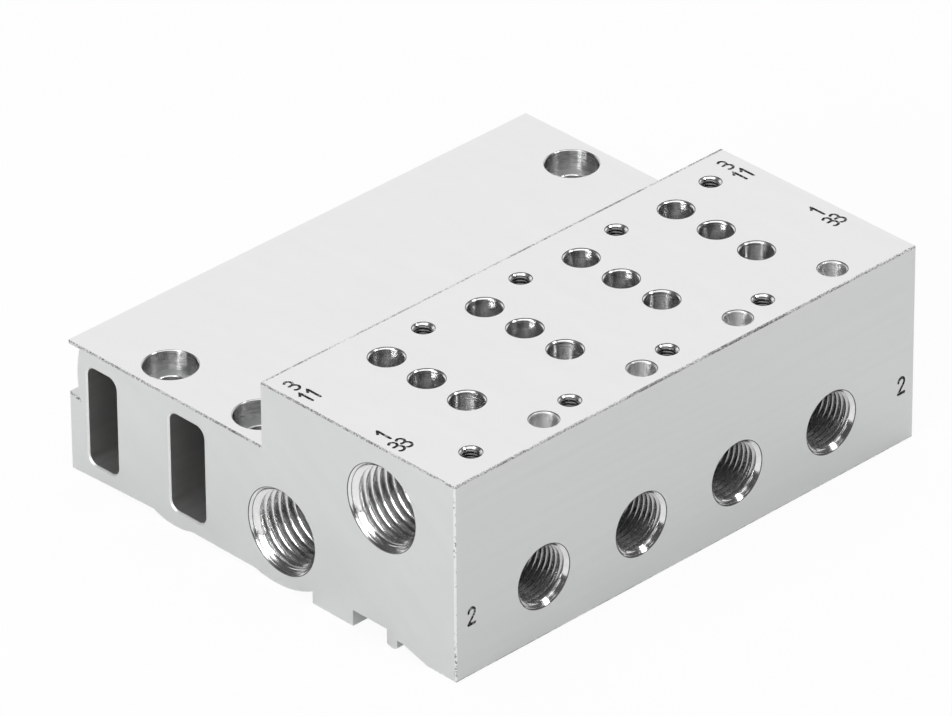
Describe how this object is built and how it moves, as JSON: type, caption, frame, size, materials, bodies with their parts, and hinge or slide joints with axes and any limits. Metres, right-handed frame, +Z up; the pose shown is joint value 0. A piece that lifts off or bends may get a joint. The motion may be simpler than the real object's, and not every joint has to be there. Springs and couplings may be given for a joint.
{
  "type": "manifold plate",
  "caption": "Pneumatic manifold plate: a drilled aluminium extrusion with a face for small valves, air galleries along it, threaded ports in the ends and side, and a slab to screw down.",
  "frame": {"origin": "middle of the underside: the centre of the bounding box in X and Y, on the plane that the plate stands on", "axes": "+X along the extrusion, +Y from the outlet face across to the slab's outer side, +Z up out of the valve face"},
  "size_m": [0.091, 0.0786, 0.0318],
  "materials": {
    "aluminium": "satin; extruded sides, milled top faces and sawn, deburred ends"
  },
  "bodies": {
    "root": {"manifold_plate": "aluminium"}
  },
  "joints": []
}
